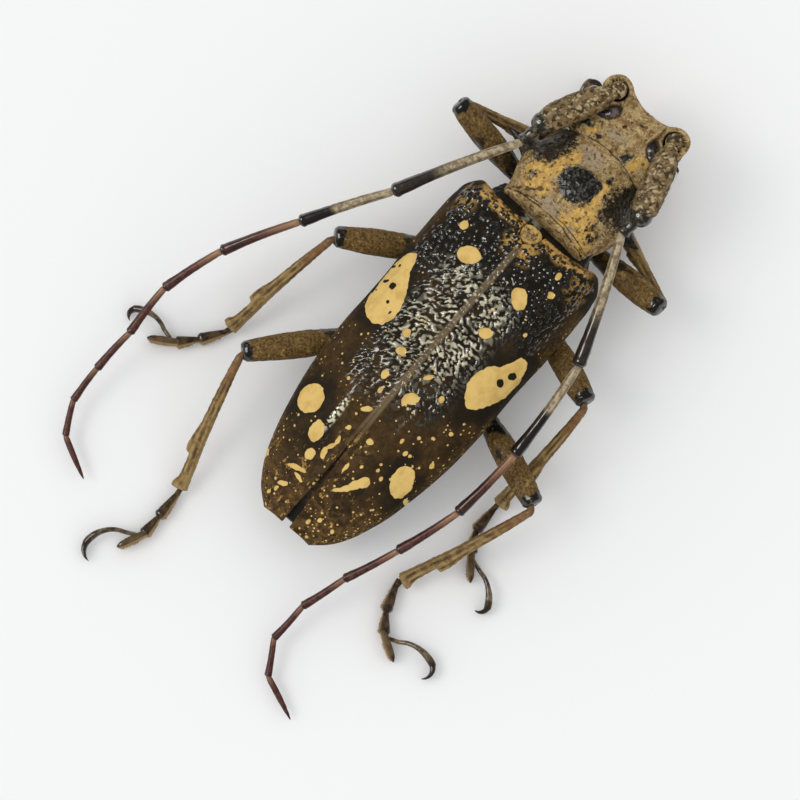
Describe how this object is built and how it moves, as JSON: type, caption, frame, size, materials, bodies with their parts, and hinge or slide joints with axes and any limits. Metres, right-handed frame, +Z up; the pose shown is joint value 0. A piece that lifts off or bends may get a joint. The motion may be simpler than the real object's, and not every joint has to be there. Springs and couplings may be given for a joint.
{
  "type": "longhorn beetle",
  "caption": "Life-size still model of a spotted longhorn beetle standing on six feet, with long jointed feelers laid back beside the body.",
  "frame": {"origin": "on the floor under the middle of the whole beetle's box, feelers and legs included", "axes": "+Z up from the floor; -Y the way the head looks; +X the beetle's left side"},
  "size_m": [0.0344, 0.051, 0.0101],
  "materials": {
    "wing_case": "dark brown velvet with black grains and cream spots",
    "thorax": "ochre and grey-tan down with black patches",
    "belly": "grey-brown down over dark shell",
    "eye": "finely faceted dark eye",
    "mouth": "smooth black horn",
    "scape": "rough wrinkled tan-grey",
    "feeler": "tan-grey to reddish brown, darker at each joint's end",
    "leg": "mottled olive brown with black knees",
    "foot": "dark brown with tan soles and black claws"
  },
  "bodies": {
    "root": {"prothorax": "thorax", "scutellum": "thorax", "hind_thorax": "belly", "abdomen": "belly", "elytron_left": "wing_case", "elytron_right": "wing_case", "head": "thorax", "labrum": "mouth", "eye_left": "eye", "eye_right": "eye", "mandible_left": "mouth", "mandible_right": "mouth", "palp_left": "mouth", "palp_right": "mouth", "antenna_left_scape": "scape", "antenna_left_base": "feeler", "antenna_left_middle": "feeler", "antenna_left_tip": "feeler", "antenna_right_scape": "scape", "antenna_right_base": "feeler", "antenna_right_middle": "feeler", "antenna_right_tip": "feeler", "leg_fore_left_femur": "leg", "leg_fore_left_tibia": "leg", "leg_fore_left_tarsus": "foot", "leg_fore_left_claws": "foot", "leg_fore_right_femur": "leg", "leg_fore_right_tibia": "leg", "leg_fore_right_tarsus": "foot", "leg_fore_right_claws": "foot", "leg_mid_left_femur": "leg", "leg_mid_left_tibia": "leg", "leg_mid_left_tarsus": "foot", "leg_mid_left_claws": "foot", "leg_mid_right_femur": "leg", "leg_mid_right_tibia": "leg", "leg_mid_right_tarsus": "foot", "leg_mid_right_claws": "foot", "leg_hind_left_femur": "leg", "leg_hind_left_tibia": "leg", "leg_hind_left_tarsus": "foot", "leg_hind_left_claws": "foot", "leg_hind_right_femur": "leg", "leg_hind_right_tibia": "leg", "leg_hind_right_tarsus": "foot", "leg_hind_right_claws": "foot"}
  },
  "joints": []
}
